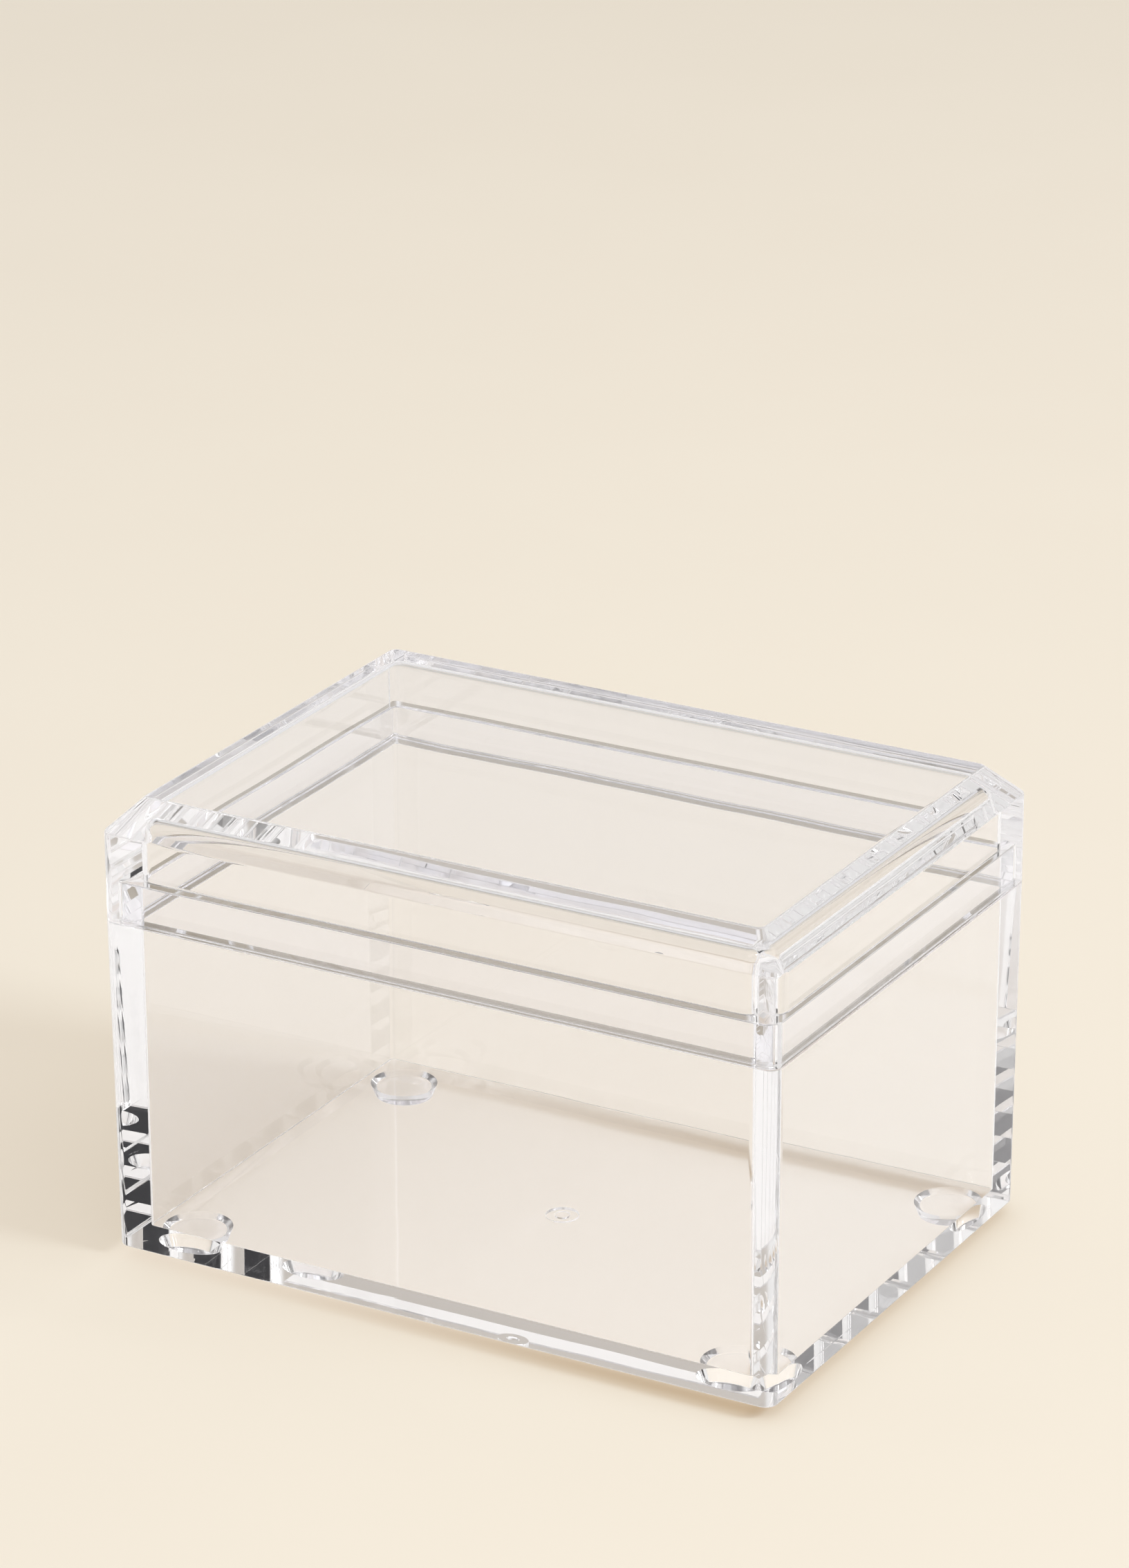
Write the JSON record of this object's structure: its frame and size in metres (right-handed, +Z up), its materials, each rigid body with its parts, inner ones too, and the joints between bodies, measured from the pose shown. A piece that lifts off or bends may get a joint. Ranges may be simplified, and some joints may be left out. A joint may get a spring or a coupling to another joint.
{
  "type": "storage box",
  "caption": "Clear thick-walled box with a bevelled lift-off lid that fits over an inner collar, standing on round feet.",
  "frame": {"origin": "centre of the box's footprint, on the surface that the feet stand on", "axes": "+X along the long front, +Y from the front to the back, +Z up"},
  "size_m": [0.11, 0.0794, 0.0726],
  "materials": {
    "clear_acrylic_body": "clear polished acrylic",
    "clear_acrylic_collar": "clear polished acrylic",
    "clear_acrylic_lid": "clear polished acrylic",
    "clear_foot": "clear smooth soft plastic"
  },
  "bodies": {
    "box": {"box_body": "clear_acrylic_body", "collar": "clear_acrylic_collar", "foot_front_left": "clear_foot", "foot_front_right": "clear_foot", "foot_back_left": "clear_foot", "foot_back_right": "clear_foot"},
    "lid": {"lid": "clear_acrylic_lid"}
  },
  "joints": [
    {"name": "lid_lift", "type": "slide", "parent": "box", "child": "lid", "axis": [0, 0, 1], "range_m": [0, 0.08]}
  ]
}
